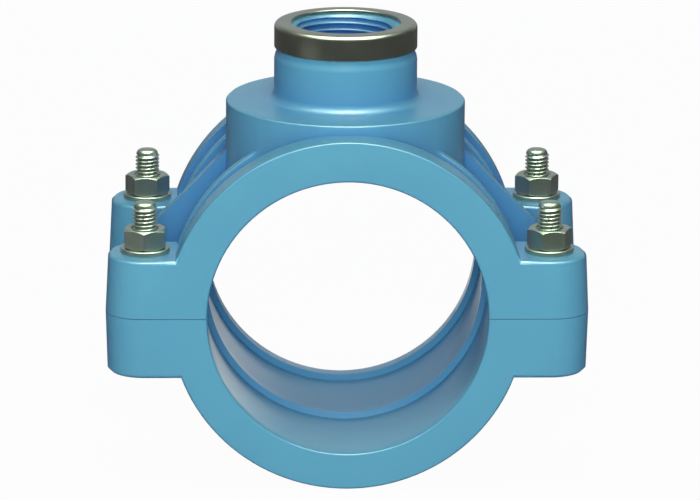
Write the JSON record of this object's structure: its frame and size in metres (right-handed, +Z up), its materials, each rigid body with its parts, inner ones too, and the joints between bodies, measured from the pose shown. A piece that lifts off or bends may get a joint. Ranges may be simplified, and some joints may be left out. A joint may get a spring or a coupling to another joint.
{
  "type": "tapping saddle",
  "caption": "Bolted clamp saddle for tapping a plastic water pipe: two moulded half shells, a threaded outlet on top held by a steel ring, and hex-headed bolts with nuts and washers.",
  "frame": {"origin": "on the pipe's axis, at the middle of the saddle's length", "axes": "+Y along the pipe, +Z up the outlet, +X across from lug to lug"},
  "size_m": [0.157, 0.098, 0.1452],
  "materials": {
    "saddle_body": "satin moulded polypropylene, sky blue",
    "ring_steel": "dark satin stainless steel, pressed",
    "plated_steel": "bright zinc plating with a faint yellow-green tint",
    "gasket_rubber": "matt black nitrile rubber"
  },
  "bodies": {
    "root": {"upper_saddle": "saddle_body", "lower_saddle": "saddle_body", "reinforcing_ring": "ring_steel", "outlet_gasket": "gasket_rubber", "bolt_front_left": "plated_steel", "nut_front_left": "plated_steel", "washer_front_left": "plated_steel", "bolt_front_right": "plated_steel", "nut_front_right": "plated_steel", "washer_front_right": "plated_steel", "bolt_back_left": "plated_steel", "nut_back_left": "plated_steel", "washer_back_left": "plated_steel", "bolt_back_right": "plated_steel", "nut_back_right": "plated_steel", "washer_back_right": "plated_steel"}
  },
  "joints": []
}
